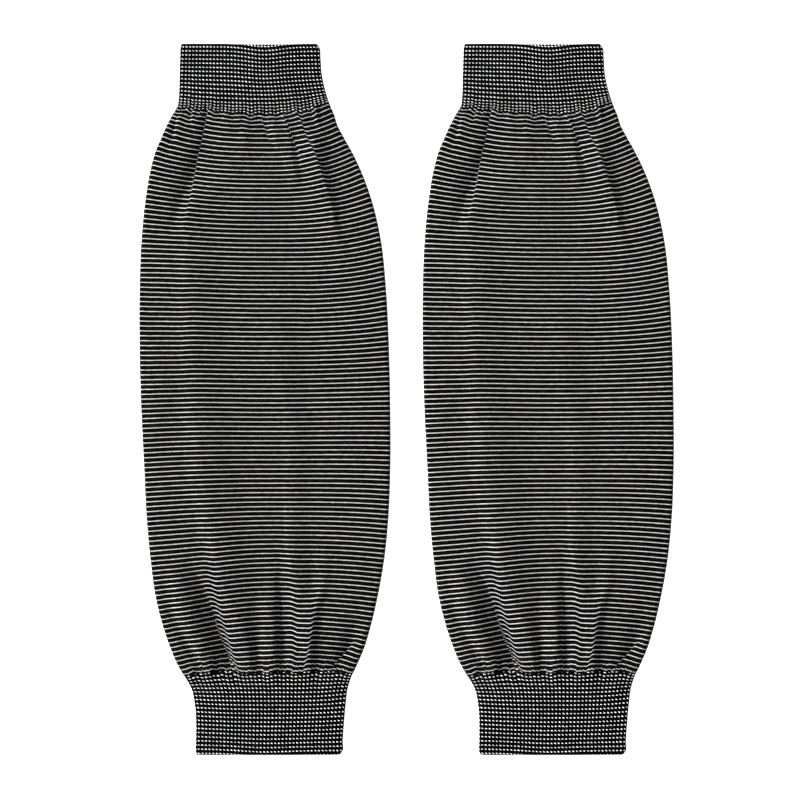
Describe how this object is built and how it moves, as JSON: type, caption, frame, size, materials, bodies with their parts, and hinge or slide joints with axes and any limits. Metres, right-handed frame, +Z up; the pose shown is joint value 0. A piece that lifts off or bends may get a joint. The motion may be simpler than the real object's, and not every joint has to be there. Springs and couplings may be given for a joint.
{
  "type": "pair of compression sleeves",
  "caption": "Pair of loose knitted arm sleeves lying flat side by side, finely striped and gathered into narrow ribbed elastic cuffs at both ends.",
  "frame": {"origin": "middle of the floor area that the pair covers, on the surface that it lies on", "axes": "+Z up from the surface, +Y along the sleeves towards the end with the shorter cuff, +X across the pair to the right of the picture"},
  "size_m": [0.343, 0.4572, 0.0072],
  "materials": {
    "body_knit": "matt jersey knit, near black with thin off-white stripes every fourth course",
    "cuff_knit": "matt elastic rib knit, near black with rows of off-white stitches"
  },
  "bodies": {
    "root": {"left_top_cuff": "cuff_knit", "left_body": "body_knit", "left_bottom_cuff": "cuff_knit", "right_top_cuff": "cuff_knit", "right_body": "body_knit", "right_bottom_cuff": "cuff_knit"}
  },
  "joints": []
}
